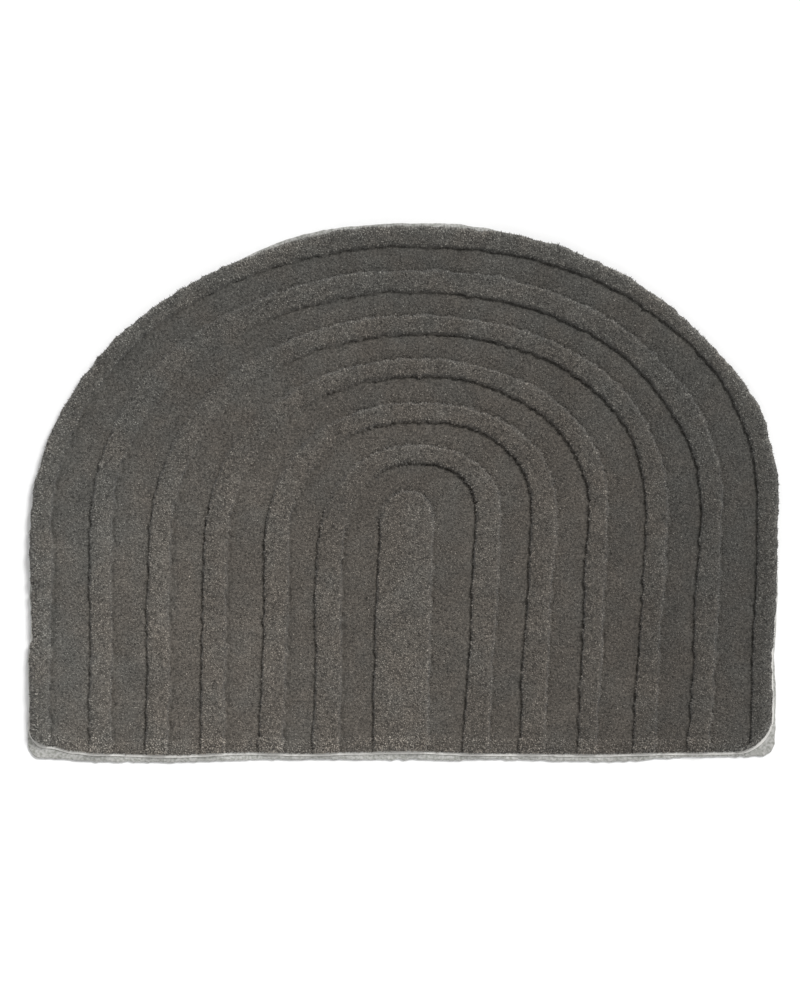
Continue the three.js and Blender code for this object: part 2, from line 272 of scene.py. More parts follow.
def cloth_material(name, roughness, sheen):
    """A dull cloth, its tree, and its shader for the colour and bump to go into."""
    material = bpy.data.materials.new(name)
    material.use_nodes = True
    shader = material.node_tree.nodes["Principled BSDF"]
    values = {
        "Roughness": roughness,
        "Sheen Weight": sheen,
        "Sheen Roughness": 0.5,
        "Specular IOR Level": 0.15,
    }
    for socket, value in values.items():
        shader.inputs[socket].default_value = value
    return material, material.node_tree, shader


def finish_cloth(tree, shader, colour, height, strength, distance):
    tree.links.new(colour, shader.inputs["Base Color"])
    inputs = {"Height": height, "Strength": strength, "Distance": distance * MM}
    bump = add_node(tree, "Bump", inputs)
    tree.links.new(bump.outputs["Normal"], shader.inputs["Normal"])


# A layer's front edge is rows of (x, y), and corners are its corners' radii. reach is how far it
# goes past the pile, in rows as for the outline's drift. Its edge is rows of (inset, height above
# the underside) under, and of (inset, depth below the top) over. ragged is how rough it is cut.
FELT = dict(
    front=[(-345, -5.8), (-316, -7.6), (-288, -9.4), (-220, -9.7), (-130, -7.5), (10, -7.3),
           (45, -8.2), (85, -7.3), (185, -9.3), (215, -8.6), (240, -6.3), (270, -4.8),
           (309, -4.7), (340, -3.9)],
    corners=(14, 12),
    reach=[(0, 2.2), (0.05, 0.6), (0.1, 1.2), (0.16, -1), (0.36, -1), (0.42, 4), (0.52, 4),
           (0.58, -1), (0.83, -1), (0.9, 1), (1, 3.4)],
    under=[(0.9, 0), (0.2, 0.5), (0, 1.4)],
    over=[(0.3, 0.5), (1, 0), (2.5, 0)],
    ragged=0.2, seed=11,
)
FELT_PALE = linear(182, 181, 178)
FELT_DARK = linear(139, 140, 134)
FELT_SPECK = 2.2
FELT_CLOUD = 45
FELT_FIBRE = 0.9
FELT_CLOUDS = (0.85, 1.12)  # the shades of its darkest and lightest clouds

felt_material, tree, shader = cloth_material("felt", roughness=0.95, sheen=0.1)
specks = between(tree, blotches(tree, FELT_SPECK, detail=4), 0, 1, start=0.36, end=0.62)
felt_colour = blend_colours(tree, specks, FELT_DARK, FELT_PALE)
felt_clouds = between(tree, blotches(tree, FELT_CLOUD), *FELT_CLOUDS)
felt_colour = shaded(tree, felt_colour, felt_clouds)
felt_fibres = blotches(tree, FELT_FIBRE, detail=3)
finish_cloth(tree, shader, felt_colour, felt_fibres, strength=0.6, distance=0.6)

felt_outline = layer_outline(FELT)
felt = layer_piece("felt_backing_cut", "felt_backing", FELT, felt_outline, felt_material)
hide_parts("felt_backing")


# Canvas edge. Fine pale cotton canvas that the wool is tufted through, turned under at the pile's
# foot. Its fold shows as a smooth line along the front edge and round both front corners.

CANVAS_FOLD = 3  # how far the fold stands out in front of the pile
CANVAS = dict(
    front=[(x, y - CANVAS_FOLD) for x, y in FRONT_EDGE],
    corners=(19, 36),
    reach=[(0, 1.8), (0.07, 0.6), (0.14, -1.5), (0.86, -1.5), (0.93, 0.4), (1, 1.6)],
    under=[(1.2, 0), (0.35, 0.15), (0, 0.5)],
    over=[(0.1, 0.3), (0.6, 0), (2.5, 0)],
    ragged=0.05, seed=12,
)
CANVAS_PALE = linear(228, 227, 223)
CANVAS_DARK = linear(204, 202, 197)
THREAD = 0.55
WAVE_LENGTH = math.pi / 10  # of a wave texture at scale 1
SOIL_PATCH = 18
SOIL_SHADES = (0.86, 1.06)

canvas_material, tree, shader = cloth_material("canvas", roughness=0.85, sheen=0.05)
place = add_node(tree, "TexCoord").outputs["Object"]
threads = []
for direction in ("X", "Y"):
    inputs = {"Vector": place, "Scale": WAVE_LENGTH / (THREAD * MM), "Distortion": 0.4}
    wave = add_node(tree, "TexWave", inputs, bands_direction=direction)
    threads.append(wave.outputs["Fac"])
weave = maths(tree, "MULTIPLY", *threads)
raised_thread = between(tree, weave, 0, 1, start=0, end=0.7)
canvas_colour = blend_colours(tree, raised_thread, CANVAS_DARK, CANVAS_PALE)
soil = between(tree, blotches(tree, SOIL_PATCH, detail=4), *SOIL_SHADES)
canvas_colour = shaded(tree, canvas_colour, soil)
finish_cloth(tree, shader, canvas_colour, weave, strength=0.5, distance=0.2)

canvas_outline = layer_outline(CANVAS)
canvas = layer_piece(
    "canvas_fold", "canvas_edge", CANVAS, canvas_outline, canvas_material
)
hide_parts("canvas_edge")


# Wool pile. Dark grey wool, tufted in one piece through the canvas and then carved with shears: a
# rim, arched bands inside it and a round-topped tongue stand above the grooves between them. This
# is the body of the pile, a tuft's rise under its tips.

# sheared is how much of the straight cut a band's outer edge gets, from none at 0 to all at 1.
BANDS = [
    dict(
        spring=(223, 221), lean=(0, 13), phase=1.9, sheared=0.55,
        outer=dict(width=(291.5, 292.5), crown=457, full=(2.1, 2.04)),
        inner=dict(width=(274, 274.5), crown=439.5, full=(2.1, 2.03)),
    ),
    dict(
        spring=(200, 221), lean=(3, 13), phase=3.1, sheared=0.7,
        outer=dict(width=(237.5, 241), crown=413, full=(2.14, 2.14)),
        inner=dict(width=(219.5, 223.5), crown=398.5, full=(2.16, 2.17)),
    ),
    dict(
        spring=(193, 221), lean=(3, 11), phase=4.6, sheared=0.85,
        outer=dict(width=(186.5, 186), crown=371, full=(2.14, 2.15)),
        inner=dict(width=(167, 170), crown=358, full=(2.16, 2.15)),
    ),
    dict(
        spring=(200, 221), lean=(6, 12), phase=0.9, sheared=1,
        outer=dict(width=(129.5, 137), crown=329, full=(2.15, 2.3)),
        inner=dict(width=(109.5, 116.5), crown=314.5, full=(2.2, 2.35)),
    ),
    dict(
        spring=(178, 224), lean=(4, 12), phase=2.7, sheared=0.5,
        outer=dict(width=(80.5, 85.5), crown=288.5, full=(2.15, 2.2)),
        inner=dict(width=(59, 65), crown=275.5, full=(2.2, 2.2)),
    ),
]
TONGUE = dict(
    spring=(208, 216), lean=(6, 6), phase=5.2, sheared=0.7,
    outer=dict(width=(24, 24.5), crown=244.5, full=(2.2, 2.2)),
)

# The last line runs up the tongue's middle to its heart and down again on the same places, which
# are merged in the end.
HEART = sum(TONGUE["spring"]) / 2
MIDDLE = dict(spring=(HEART, HEART), lean=(6, 6), phase=0)
MIDDLE_EDGE = dict(width=(0, 0), crown=HEART, full=(2, 2))
SAME_PLACE = 0.00001  # metres apart, at the most

# Heights are over the floor, at the tufts' tips, and pile_body lies TUFT_RISE lower. Crowns are how
# much the middle of a groove and of a band stands above the rest.
PILE_BOTTOM = pile_low.z / MM
GROOVE_TOP = 12
GROOVE_CROWN = 0.2
BAND_TOP = 17
BAND_CROWN = 0.5
TONGUE_SHOULDER = 0.7  # the share of the crown halfway to the tongue's middle
TUFT_RISE = 1.5
SETTLE = dict(height=0.4, lengths=(83, 67), turns=(1.1, 0.4))  # slow swells across and back

# The front corners are turned by pulling the lines along the bands inwards, each less than the one
# outside it, and so gently that none crosses another.
PILE_CORNERS = (16, 34)  # the radius of the left and of the right one
CORNER_REACH = 17  # how far inside the outline the pull ends
CORNER_SQUEEZE = 0.94  # the most of their distance that the lines lose
FRONT_FADES = 60  # how far behind the front edge the lines no longer follow its wander

# The outer and front side of the pile is rounded, and its tufts stand out past the body.
SIDE_ROUND = 6
SIDE_STEPS = 8
SIDE_FULL = 0.8  # the exponent of its profile
SIDE_OUT = 0.7  # the share of a tuft's rise by which the side's tufts stand out
SIDE_RISE = 0.9  # the share of a tuft's rise that the side has
PILE_STEPS = (76, 350)  # up each leg, and over the arch

# The shears cut straight down and a little under the groove on the sides that face lower left, and
# slope off the others. cut is 1 on a straight side and 0 on a sloped one, and pairs in the sides
# are (sloped, straight). foot is how far a wall's foot lies from its edge, dip how far the foot
# lies under the groove, and wall the share of a tuft's rise that the wall has.
OUTER_CUT_TOWARDS = np.array([-0.71, -0.71])
OUTER_CUT_RANGE = (0.2, 0.68)
INNER_CUT_TOWARDS = np.array([-0.87, -0.5])
INNER_CUT_RANGE = (0.1, 0.8)
RIM_CUT = 0.35  # the rim's inner side is nowhere less straight than this
OUTER_SIDE = dict(foot=(2.3, 0.9), dip=(1.1, 1.5), wall=(0.85, 0.58))
INNER_SIDE = dict(foot=(2.6, 0.9), dip=(1.8, 2.2), wall=(0.5, 0.4))
WALL_MIDDLE = mix(GROOVE_TOP, BAND_TOP, 0.45)

# At the upper left of the arch the relief softens: the walls' feet spread, the tops sink, the dips
# fill up and the walls keep more of their wool. The rim's inner side softens less, and its top
# doesn't.
SOFT_TOWARDS = np.array([-0.77, 0.64])
SOFT_RANGE = (0.91, 0.995)
SOFT_FOOT = 2
SOFT_LOSS = 0.8
SOFT_DIP = 0.6  # the share of a dip that is filled
SOFT_WALL = 0.8
SOFT_RIM = 0.3

# No cut is even. RAGGED is how far an edge strays, and how much a foot and a dip vary, by a factor
# within their limits. CREST is rows of (inset from a band's edge, how much lower the band is
# there), and FLOOR of (distance from a wall's foot, share of the dip there).
RAGGED = dict(outline=0.5, edge=0.45, foot=0.35, dip=0.4)
FOOT_LIMITS = (0.4, 1.9)
DIP_LIMITS = (0.2, 1.8)
CREST = [(0, 0.9), (0.8, 0.3), (2.2, 0.05), (5, 0)]
FLOOR = [(1.3, 0.75), (3.2, 0.35), (7.5, 0.1)]

front_turn = np.linspace(0, np.pi / 2, SIDE_STEPS)
front_backs = FRONT_DEPTH * (1 - np.cos(front_turn))
walk = walk_round(front_backs, *PILE_STEPS)
front_share = np.sin(front_turn) ** SIDE_FULL
height_share = np.ones(len(walk["side"]))
height_share[: len(front_share)] = front_share
height_share[-len(front_share):] = front_share[::-1]
outwards = np.stack([-np.cos(walk["angle"]), np.sin(walk["angle"])], 1)
outer_cut = smooth(outwards @ OUTER_CUT_TOWARDS, *OUTER_CUT_RANGE)
inner_cut = smooth(-outwards @ INNER_CUT_TOWARDS, *INNER_CUT_RANGE)
softened = smooth(outwards @ SOFT_TOWARDS, *SOFT_RANGE)

columns = []  # one for each line along the bands, from the outline to the middle
carving = np.random.default_rng(3)


def uneven_run(size):
    """A number for each station, about size in spread, that wanders from one to the next."""
    rough = carving.normal(size=len(outwards) + 2)
    return size * (rough[:-2] + 2 * rough[1:-1] + rough[2:]) / math.sqrt(6)


def add_line(places, height, rise, raised):
    """One line of the pile, with its height, its share of a tuft's rise, and if it is raised."""
    height, rise = (np.broadcast_to(value, len(places)) for value in (height, rise))
    columns.append(dict(places=places, height=height, rise=rise, raised=raised))


def add_crest(near, far, inset_rows):
    """Lines on a band's top, at their insets from its near edge."""
    width = np.linalg.norm(far - near, axis=1)
    for inset, drop in inset_rows:
        share = np.clip(inset / width, 0, 0.5)
        crown = BAND_CROWN * np.sin(np.pi * share)
        loss = drop + SOFT_LOSS * softened * (near is not rim_inner)
        add_line(mix(near, far, share[:, None]), BAND_TOP + crown - loss, 1, 1)


def groove_lines(near, far, side, cut):
    """Lines from the near edge down a band's wall, over its foot and out onto the groove's floor."""
    soft = softened
    if near is rim_inner:
        cut, soft = np.maximum(cut, RIM_CUT), softened * SOFT_RIM
    width = np.linalg.norm(far - near, axis=1)
    foot, dip, wall = (mix(*side[name], cut) for name in ("foot", "dip", "wall"))
    foot = foot * np.clip(1 + uneven_run(RAGGED["foot"]), *FOOT_LIMITS) + SOFT_FOOT * soft
    dip = dip * np.clip(1 + uneven_run(RAGGED["dip"]), *DIP_LIMITS) * (1 - SOFT_DIP * soft)
    wall = mix(wall, SOFT_WALL, soft)

    def line_at(out, height, rise, raised):
        return mix(near, far, (out / width)[:, None]), height, rise, raised

    found = [
        line_at(foot / 2, WALL_MIDDLE - SOFT_LOSS * soft / 2, wall, 1),
        line_at(foot, GROOVE_TOP - dip, wall, 0),
    ]
    for out, share in FLOOR:
        found.append(line_at(foot + out, GROOVE_TOP - dip * share, mix(wall, 1, 1 - share), 0))
    return found


def band_edge(band, edge):
    places, _ = place_on(band, edge, walk)
    return places + outwards * uneven_run(RAGGED["edge"])[:, None]


rim_outer, _ = place_on(RIM, RIM["outer"], walk)
rim_inner = band_edge(RIM, RIM["inner"])
outline_rough = uneven_run(RAGGED["outline"])
for step in range(SIDE_STEPS + 1):
    turn = np.pi / 2 * step / SIDE_STEPS
    inset = TUFT_RISE * SIDE_OUT + SIDE_ROUND * (1 - np.cos(turn))
    height = mix(PILE_BOTTOM, BAND_TOP, np.sin(turn) ** SIDE_FULL)
    places, _ = place_on(RIM, RIM["outer"], walk, outline_rough - inset)
    add_line(places, height, SIDE_RISE, 1)
add_line((rim_outer + rim_inner) / 2, BAND_TOP + BAND_CROWN, 1, 1)
add_crest(rim_inner, rim_outer, CREST[:0:-1])
add_line(rim_inner, BAND_TOP - CREST[0][1], 1, 1)
rim_lines = len(columns)

near = rim_inner
for band in [*BANDS, TONGUE]:
    far = band_edge(band, band["outer"])
    for line in groove_lines(near, far, INNER_SIDE, inner_cut):
        add_line(*line)
    add_line((near + far) / 2, GROOVE_TOP + GROOVE_CROWN, 1, 0)
    for line in groove_lines(far, near, OUTER_SIDE, outer_cut * band["sheared"])[::-1]:
        add_line(*line)
    if band is TONGUE:
        break
    near = band_edge(band, band["inner"])
    add_crest(far, near, CREST)
    add_line((far + near) / 2, BAND_TOP + BAND_CROWN - SOFT_LOSS * softened, 1, 1)
    add_crest(near, far, CREST[::-1])

tongue_line = len(columns)
near, _ = place_on(MIDDLE, MIDDLE_EDGE, walk)
add_crest(far, near, CREST)
add_line(mix(far, near, 0.5), BAND_TOP + BAND_CROWN * TONGUE_SHOULDER, 1, 1)
add_line(near, BAND_TOP + BAND_CROWN, 1, 1)

for line in columns:
    places = line["places"].copy()
    radius = np.where(rim_outer[:, 0] < 0, *PILE_CORNERS)
    below = np.clip(radius - places[:, 1], 0, radius)
    pull = radius - np.sqrt(radius**2 - below**2)
    reach = np.maximum(CORNER_REACH, pull / CORNER_SQUEEZE)
    inset = np.abs(rim_outer[:, 0]) - np.abs(places[:, 0])
    places[:, 0] -= np.sign(places[:, 0]) * pull * np.maximum(1 - inset / reach, 0)
    fade = np.maximum(1 - places[:, 1] / FRONT_FADES, 0)
    places[:, 1] += fade * read_table(FRONT_EDGE, places[:, 0])
    swell = np.sin(places / SETTLE["lengths"] + SETTLE["turns"])
    uneven = SETTLE["height"] * swell[:, 0] * swell[:, 1]
    full = line["height"] + uneven - TUFT_RISE - PILE_BOTTOM
    line["places"] = np.c_[places, PILE_BOTTOM + np.maximum(full, 0) * height_share]

grid = np.stack([line["places"] for line in columns], 1)
stations, lines = grid.shape[:2]
grid_places = grid.reshape(-1, 3)
number = np.arange(stations * lines).reshape(stations, lines)
quads = np.stack([number[1:, :-1], number[1:, 1:], number[:-1, 1:], number[:-1, :-1]], -1)
quads = quads.reshape(-1, 4)

# The wool is two yarns that mottle, the cooler one more towards the rim. Over that is painted
# shading of the nap: the mat is painted lighter on the left and in front, and darker at the back.
# Places are in metres on the mat, and RIM_COOLS goes by the square of the way from the middle of
# the front edge to the rim. WOOL_TONES are the wool's shades in clouds, in patches and in the grain.
WOOL_WARM = linear(111, 105.5, 98.5)
WOOL_COOL = linear(106, 104.5, 100)
ROOT_PAINTED_SHADE = 0.55  # painted shade of the body between the tufts, deep in the pile
MAT_FRONT, MAT_DEEP, MAT_HALF = 0.25, 0.5, 0.35  # origin to front, front to back, half the width
RIM_COOLS = dict(low=-0.35, high=0.35, start=0.4, end=0.95)
# Painted shading of the nap: lighter to the left, most in front, and darker towards the back.
PAINTED_NAP_LEVEL = 0.97
PAINTED_NAP_SIDEWAYS = dict(low=0.2, high=-0.27, start=-0.3, end=0.34)
PAINTED_NAP_SIDEWAYS_FADES = dict(low=1, high=0.2, start=-0.1, end=0.2)
PAINTED_NAP_TO_BACK = dict(low=1.05, high=0.86, start=-0.2, end=0.25)
NOISE_RANGE = dict(start=0.3, end=0.7)
YARN_MOTTLE = dict(size=30, detail=3, shades=(0.1, 0.9))
WOOL_TONES = [
    dict(size=55, detail=3, shades=(0.9, 1.1)),
    dict(size=14, detail=2, shades=(0.93, 1.07)),
    dict(size=2.1, detail=2, shades=(0.55, 1.45)),
]


def wool_group():
    """The wool's colour all over the mat, with the painted shading of its nap, times a shade."""
    group = bpy.data.node_groups.new("wool_yarn", "ShaderNodeTree")
    group.interface.new_socket("Shade", in_out="INPUT", socket_type="NodeSocketFloat")
    group.interface.new_socket("Colour", in_out="OUTPUT", socket_type="NodeSocketColor")
    given = group.nodes.new("NodeGroupInput")
    made = group.nodes.new("NodeGroupOutput")
    place = add_node(group, "TexCoord").outputs["Object"]
    x, y = add_node(group, "SeparateXYZ", {0: place}).outputs[:2]

    def tone(row):
        noise = blotches(group, row["size"], row["detail"])
        return between(group, noise, *row["shades"], **NOISE_RANGE)

    far = maths(group, "DIVIDE", maths(group, "ADD", y, MAT_FRONT), MAT_DEEP)
    wide = maths(group, "DIVIDE", x, MAT_HALF)
    squares = [maths(group, "MULTIPLY", value, value) for value in (far, wide)]
    near_rim = between(group, maths(group, "ADD", *squares), **RIM_COOLS)
    mottle = maths(group, "ADD", tone(YARN_MOTTLE), near_rim)
    colour = blend_colours(group, mottle, WOOL_WARM, WOOL_COOL)
    # Painted shading of the nap: lighter on the left and in front, darker at the back.
    across, fades, painted_nap_and_tones = (
        between(group, value, **fall)
        for value, fall in ((x, PAINTED_NAP_SIDEWAYS), (y, PAINTED_NAP_SIDEWAYS_FADES), (y, PAINTED_NAP_TO_BACK))
    )
    across = maths(group, "MULTIPLY", across, fades)
    painted_nap_and_tones = maths(group, "MULTIPLY", maths(group, "ADD", across, PAINTED_NAP_LEVEL), painted_nap_and_tones)
    for factor in [*(tone(row) for row in WOOL_TONES), given.outputs["Shade"]]:
        painted_nap_and_tones = maths(group, "MULTIPLY", painted_nap_and_tones, factor)
    group.links.new(shaded(group, colour, painted_nap_and_tones), made.inputs["Colour"])
    return group


wool_yarn = wool_group()


def wool_material(name, shade=None):
    """Matt wool. shade is a number, or else each lock's own from its attribute."""
    material, tree, shader = cloth_material(name, roughness=0.95, sheen=0.25)
    group = tree.nodes.new("ShaderNodeGroup")
    group.node_tree = wool_yarn
    if shade is None:
        own = add_node(tree, "Attribute", attribute_name="shade").outputs["Fac"]
        tree.links.new(own, group.inputs["Shade"])
    else:
        group.inputs["Shade"].default_value = shade
    fibres = blotches(tree, size=0.5)
    finish_cloth(tree, shader, group.outputs["Colour"], fibres, strength=0.5, distance=0.25)
    return material


# The body is closed by a fan of faces underneath, from its outline to one place in the middle.
under = np.concatenate([number[:, 0], number[-1, 1:-1], number[0, :0:-1]])
middle_number = stations * lines
faces = quads.tolist()
faces += [(middle_number, here, after) for here, after in zip(under, np.roll(under, -1))]
places = np.concatenate([grid_places, [[0, LEG_RUN / 2, PILE_BOTTOM]]])
# The body between the tufts takes painted shade, as if deep in the pile.
pile = new_piece("pile_body", places, faces, wool_material("wool_roots", ROOT_PAINTED_SHADE))
bpy.ops.object.select_all(action="DESELECT")
pile.select_set(True)
bpy.context.view_layer.objects.active = pile
bpy.ops.object.mode_set(mode="EDIT")
bpy.ops.mesh.select_all(action="SELECT")
bpy.ops.mesh.remove_doubles(threshold=SAME_PLACE)
bpy.ops.object.mode_set(mode="OBJECT")
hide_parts("pile")


# Tufts. The cut ends of the wool, each a lock of a few fibres, tufted about 1.5 mm apart. They
# stand up on the bands and grooves, lie shorter in the carved cuts, and fuzz out over the rim.

TUFT_APART = 1.5
TUFT_JITTER = 0.4  # the share of that by which a tuft strays from its row
TUFT_RADIUS = (0.85, 1.25)
TUFT_HEIGHT = (0.8, 2.3)
TUFT_ROOT = 0.8  # how deep it starts in the body
TUFT_SPREAD = 0.42  # how far its lean strays
NAP_LEAN = np.array([-0.18, -0.1, 0])
SHORT_RADIUS = 0.75  # the share of its radius that a tuft with no rise would have
ABOVE_ALL = 50
LOWEST_ROOT, LOWEST_TIP = 0.1, 0.2  # over the pile's underside

# Few tufts that are dropped from above land on the steep sides, so those get more by their area.
# On the mat's outer and front side some tufts are longer.
STEEP = 0.75  # a face is steep whose level share of its area is under this
SIDE_TUFTS = 0.42  # to a square millimetre
LONG_SHARE = 0.45
LONGER = (1.1, 2)
FOLDED = -0.2  # a normal that points down more than this is turned round

# Shades are factors on the wool's colour.
SHADE_SPREADS = (0.31, 0.47)  # in the grooves and on the bands
SHADES = (0.95, 1.13)  # in the grooves and on the bands: painted shade in the lower grooves, painted light on the bands
SHADE_LIMITS = (0.3, 2)
CUT_PAINTED_SHADE = 0.55  # painted shade of a tuft with no rise, deep in a carved cut
FRONT_PAINTED_LIGHT = 1.5  # painted light on the mat's front side
OUTSIDE_PAINTED_LIGHT = 1.25  # painted light on the rest of its outer side
CREST_PAINTED_HIGHLIGHT = 0.25  # painted highlight along a band's sloped outer edge, where its crest catches the light
CREST_HIGHLIGHT_RANGE = (0.1, 0.5)  # how far the surface there faces outwards, from no painted highlight to all of it
SOFT_SHADE = 0.12  # how much darker the wool is where the relief softens
TONGUE_SHADE = 1.06
RIM_SHADES = (0.95, 1.12)  # of the rim, in front and at the arch
RIM_SHADED = (150, 450)  # how far behind the front edge one ends and the other begins
LINT_SHARE = 0.0025  # of the tufts, which are pale
LINT_SHADES = (1.8, 3)
SHADED_ROOT, LIT_TIP = 0.75, 1.15  # painted shade at each lock's roots and painted light at its tip

STRAYS = 3500  # loose fibres that stand out of the pile
STRAY_LENGTH = (2, 4.5)
STRAY_RADIUS = (0.12, 0.2)
STRAY_UPRIGHT = 0.7
STRAY_SHADES = (1.1, 2.1)

# A lock's corners are its three at the root and its tip. Its map is a square, in which its faces'
# corners lie at these spots.
LOCK_FACES = np.array([(0, 2, 1), (0, 1, 3), (1, 2, 3), (2, 0, 3)])
LOCK_SPOTS = np.array([
    (0.04, 0.5), (0.3, 0.96), (0.04, 0.96),
    (0.04, 0.04), (0.96, 0.04), (0.5, 0.35),
    (0.96, 0.04), (0.5, 0.96), (0.5, 0.35),
    (0.5, 0.96), (0.04, 0.04), (0.5, 0.35),
])
UPRIGHT = 0.9  # a lock steeper than this has its root set out from the x axis, others from the z axis
HALFWAY = 225  # the tufts are four pieces, parted here and in the middle, so that none is too large

random = np.random.default_rng(5)


def unit(vectors):
    return vectors / np.maximum(np.linalg.norm(vectors, axis=1), 1e-9)[:, None]


def lock_piece(name, roots, tips, radius, shades, material, slot, seed):
    """Locks of fibres in one mesh, each with three root corners and a tip. Its map gives each lock a
    square of its own, in rows from the front to the back."""
    count = len(roots)
    turn = np.random.default_rng(seed).uniform(0, 2 * np.pi, count)
    axis = unit(tips - roots)
    helper = np.where(np.abs(axis[:, 2:]) > UPRIGHT, [[1, 0, 0]], [[0, 0, 1]])
    side = unit(np.cross(axis, helper))
    up = np.cross(axis, side)
    corners = []
    for corner in range(3):
        angle = turn + corner * 2 * np.pi / 3
        across = np.cos(angle)[:, None] * side + np.sin(angle)[:, None] * up
        corners.append(roots + radius[:, None] * across)
    places = np.stack([*corners, tips], 1).reshape(-1, 3)
    faces = (np.arange(count)[:, None, None] * 4 + LOCK_FACES).reshape(-1, 3)
    piece = new_piece(name, places, faces, material)
    own = piece.data.attributes.new("shade", "FLOAT", "POINT")
    own.data.foreach_set("value", shades.astype(np.float32).ravel())
    rows = math.ceil(math.sqrt(count))
    by_row = np.argsort(roots[:, 1])
    order = np.concatenate(
        [part[np.argsort(roots[part, 0])] for part in np.split(by_row, range(rows, count, rows))]
    )
    cell = np.empty(count, int)
    cell[order] = np.arange(count)
    squares = np.stack([cell % rows, cell // rows], 1)
    layout = piece.data.uv_layers.new(name="OFBake")
    layout.uv.foreach_set("vector", ((squares[:, None] + LOCK_SPOTS) / rows).ravel())
    return piece


# Rows of tufts all over the mat, dropped onto the body from above.
row_apart = TUFT_APART * math.sqrt(3) / 2
low, high = grid_places.min(0), grid_places.max(0)
x, y = np.meshgrid(np.arange(low[0], high[0], TUFT_APART), np.arange(low[1], high[1], row_apart))
x[1::2] += TUFT_APART / 2
x, y = x.ravel(), y.ravel()
x += random.uniform(-TUFT_JITTER, TUFT_JITTER, len(x)) * TUFT_APART
y += random.uniform(-TUFT_JITTER, TUFT_JITTER, len(x)) * TUFT_APART
surface = BVHTree.FromPolygons(grid_places.tolist(), quads.tolist())
down = Vector((0, 0, -1))
hits = [surface.ray_cast(Vector((px, py, ABOVE_ALL)), down) for px, py in zip(x, y)]
hits = [hit for hit in hits if hit[0] is not None]
roots, normals, face = (np.array(values) for values in list(zip(*hits))[:3])

# More tufts on the steep sides.
corner = grid_places[quads]
cross = np.cross(corner[:, 2] - corner[:, 0], corner[:, 3] - corner[:, 1])
area = np.linalg.norm(cross, axis=1) / 2
line_of = np.arange(len(quads)) % (lines - 1)
station_of = np.arange(len(quads)) // (lines - 1)
at_front = (station_of < SIDE_STEPS) | (station_of >= stations - 1 - SIDE_STEPS)
outside = (line_of <= SIDE_STEPS) | at_front
steep = outside & (np.abs(cross[:, 2]) / 2 < STEEP * area)
wanted = np.where(steep, area * SIDE_TUFTS, 0)
more = np.repeat(np.arange(len(quads)), (wanted + random.uniform(0, 1, len(wanted))).astype(int))
across, along = random.uniform(0, 1, (2, len(more), 1))
first, second = (mix(corner[more, a], corner[more, b], across) for a, b in ((0, 1), (3, 2)))
roots = np.concatenate([roots, mix(first, second, along)])
normals = np.concatenate([normals, unit(cross[more])])
face = np.concatenate([face, more])
normals *= np.where(normals[:, 2:] < FOLDED, -1, 1)

# Each tuft's lean and height, and the loose fibres.
rise_of = np.stack([line["rise"] for line in columns], 1)[:-1, :-1].ravel()[face]
raised = np.array([line["raised"] for line in columns])[:-1][line_of[face]]
station = station_of[face]
count = len(roots)
loose = random.normal(size=(count, 3)) * TUFT_SPREAD
lean = unit(normals + loose + NAP_LEAN)
height = random.uniform(*TUFT_HEIGHT, count) * rise_of
long = outside[face] & (random.uniform(0, 1, count) < LONG_SHARE)
height = np.where(long, height * random.uniform(*LONGER, count), height)
tips = roots + lean * height[:, None]
strays = random.choice(count, STRAYS, replace=False)
stray_lean = unit(normals[strays] * STRAY_UPRIGHT + random.normal(size=(STRAYS, 3)))
stray_lean[:, 2] = np.abs(stray_lean[:, 2])
stray_tips = roots[strays] + stray_lean * random.uniform(*STRAY_LENGTH, (STRAYS, 1))
stray_roots = roots[strays]
roots = roots - normals * TUFT_ROOT
radius = random.uniform(*TUFT_RADIUS, count) * mix(SHORT_RADIUS, 1, rise_of)

# Each tuft's shade.
# Grooves get painted shade and bands painted light, each with its own random spread.
shade = random.normal(1, mix(*SHADE_SPREADS, raised), count) * mix(*SHADES, raised)
# Tufts with less rise, down the walls and in the cuts, get painted shade.
shade = np.clip(shade, *SHADE_LIMITS) * mix(CUT_PAINTED_SHADE, 1, rise_of)
# Painted light on the mat's outer and front side.
shade *= np.where(at_front[face], FRONT_PAINTED_LIGHT, np.where(outside[face], OUTSIDE_PAINTED_LIGHT, 1))
# A painted highlight on the crests of the bands' sloped outer edges, half as strong where the relief
# softens.
faces_out = smooth(np.sum(normals[:, :2] * outwards[station], axis=1), *CREST_HIGHLIGHT_RANGE)
crest_highlight = faces_out * (1 - outer_cut[station]) * (1 - softened[station] / 2) * ~outside[face]
shade *= 1 + CREST_PAINTED_HIGHLIGHT * crest_highlight
shade *= 1 - SOFT_SHADE * softened[station]
on_rim = line_of[face] < rim_lines
shade *= np.where(on_rim, mix(*RIM_SHADES, smooth(roots[:, 1], *RIM_SHADED)), 1)
shade *= np.where(line_of[face] >= tongue_line, TONGUE_SHADE, 1)
is_lint = random.uniform(0, 1, count) < LINT_SHARE
shade = np.where(is_lint, random.uniform(*LINT_SHADES, count), shade)

roots = np.concatenate([roots, stray_roots])
tips = np.concatenate([tips, stray_tips])
roots[:, 2] = np.maximum(roots[:, 2], PILE_BOTTOM + LOWEST_ROOT)
tips[:, 2] = np.maximum(tips[:, 2], PILE_BOTTOM + LOWEST_TIP)
radius = np.concatenate([radius, random.uniform(*STRAY_RADIUS, STRAYS)])
shade = np.concatenate([shade, random.uniform(*STRAY_SHADES, STRAYS)])
# Each lock is painted darker at its roots and lighter at its tip.
shades = np.stack([shade * SHADED_ROOT] * 3 + [shade * LIT_TIP], 1)

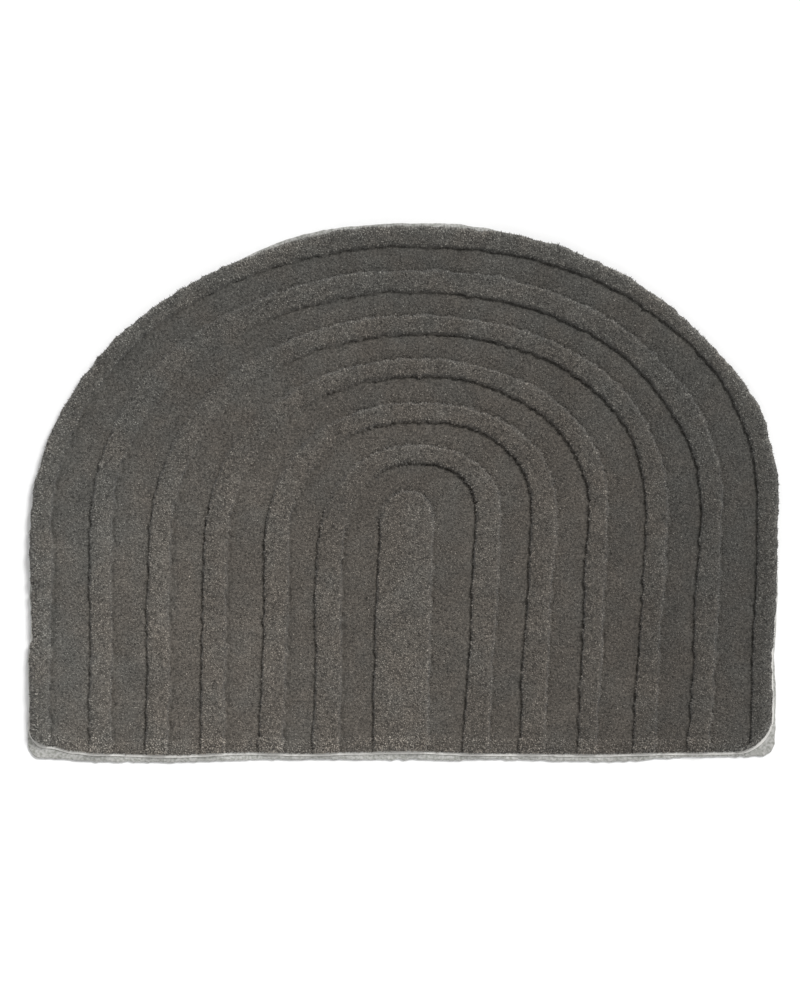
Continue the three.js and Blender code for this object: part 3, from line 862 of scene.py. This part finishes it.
tuft_wool = wool_material("wool_tips")
halves = {"left": tips[:, 0] < 0, "right": tips[:, 0] >= 0}
depths = {"front": tips[:, 1] < HALFWAY, "arch": tips[:, 1] >= HALFWAY}
tufts = []
for side, on_side in halves.items():
    for depth, at_depth in depths.items():
        here = on_side & at_depth
        name = f"tufts_{depth}_{side}"
        parts = [roots[here], tips[here], radius[here], shades[here]]
        tufts.append(lock_piece(name, *parts, tuft_wool, "wool_pile", len(tufts)))


# Floor, light and camera, as in a plain studio.

FLOOR_WIDE = 8
FLOOR_DROP = 0.0005  # it lies this much under the felt
FLOOR_PALE = (0.9, 0.9, 0.9, 1)
SKY_WHITE = (1, 1, 1, 1)
SKY_STRENGTH = 0.5

bpy.ops.object.select_all(action="DESELECT")
bpy.ops.mesh.primitive_plane_add(size=FLOOR_WIDE, location=(0, 0, -FLOOR_DROP))
floor = bpy.context.object
floor.name = "floor"
floor_material, tree, shader = cloth_material("pale_floor", roughness=0.9, sheen=0)
shader.inputs["Base Color"].default_value = FLOOR_PALE
floor.data.materials.append(floor_material)

bpy.context.scene.view_settings.view_transform = "Standard"
world = bpy.data.worlds.new("studio")
world.use_nodes = True
sky = world.node_tree.nodes["Background"]
sky.inputs["Color"].default_value = SKY_WHITE
sky.inputs["Strength"].default_value = SKY_STRENGTH
bpy.context.scene.world = world


def add_sun(name, azimuth, elevation, strength, width):
    """A far soft light. Azimuth 0 shines from +X and 90 from +Y."""
    light = bpy.data.lights.new(name, "SUN")
    light.energy = strength
    light.angle = math.radians(width)
    sun = bpy.data.objects.new(name, light)
    around, up = math.radians(azimuth), math.radians(elevation)
    flat = math.cos(up)
    source = Vector((flat * math.cos(around), flat * math.sin(around), math.sin(up)))
    sun.rotation_euler = source.to_track_quat("Z", "Y").to_euler()
    bpy.context.scene.collection.objects.link(sun)


add_sun("key", azimuth=45, elevation=58, strength=2.3, width=18)
add_sun("fill", azimuth=265, elevation=38, strength=0.65, width=60)

PIXEL = 0.935  # millimetres on the mat that one pixel of the photograph covers
PHOTO_LONG = 1000  # the photograph's longer side, in pixels
PHOTO_MIDDLE = (-3.3, 236.9, 17)  # the place in the plan at the photograph's middle
VIEW_ELEVATION = math.radians(77.6)
LENS, SENSOR = 500, 36
SEES_TO = 100

camera_data = bpy.data.cameras.new("camera")
camera_data.lens = LENS
camera_data.sensor_width = SENSOR
camera_data.clip_end = SEES_TO
camera = bpy.data.objects.new("camera", camera_data)
target = Vector([*(np.array(PHOTO_MIDDLE[:2]) + PLAN_SHIFT), PHOTO_MIDDLE[2]]) * MM
towards = Vector((0, -math.cos(VIEW_ELEVATION), math.sin(VIEW_ELEVATION)))
camera.location = target + towards * (PIXEL * MM * PHOTO_LONG * LENS / SENSOR)
camera.rotation_euler = towards.to_track_quat("Z", "Y").to_euler()
bpy.context.scene.collection.objects.link(camera)
bpy.context.scene.camera = camera
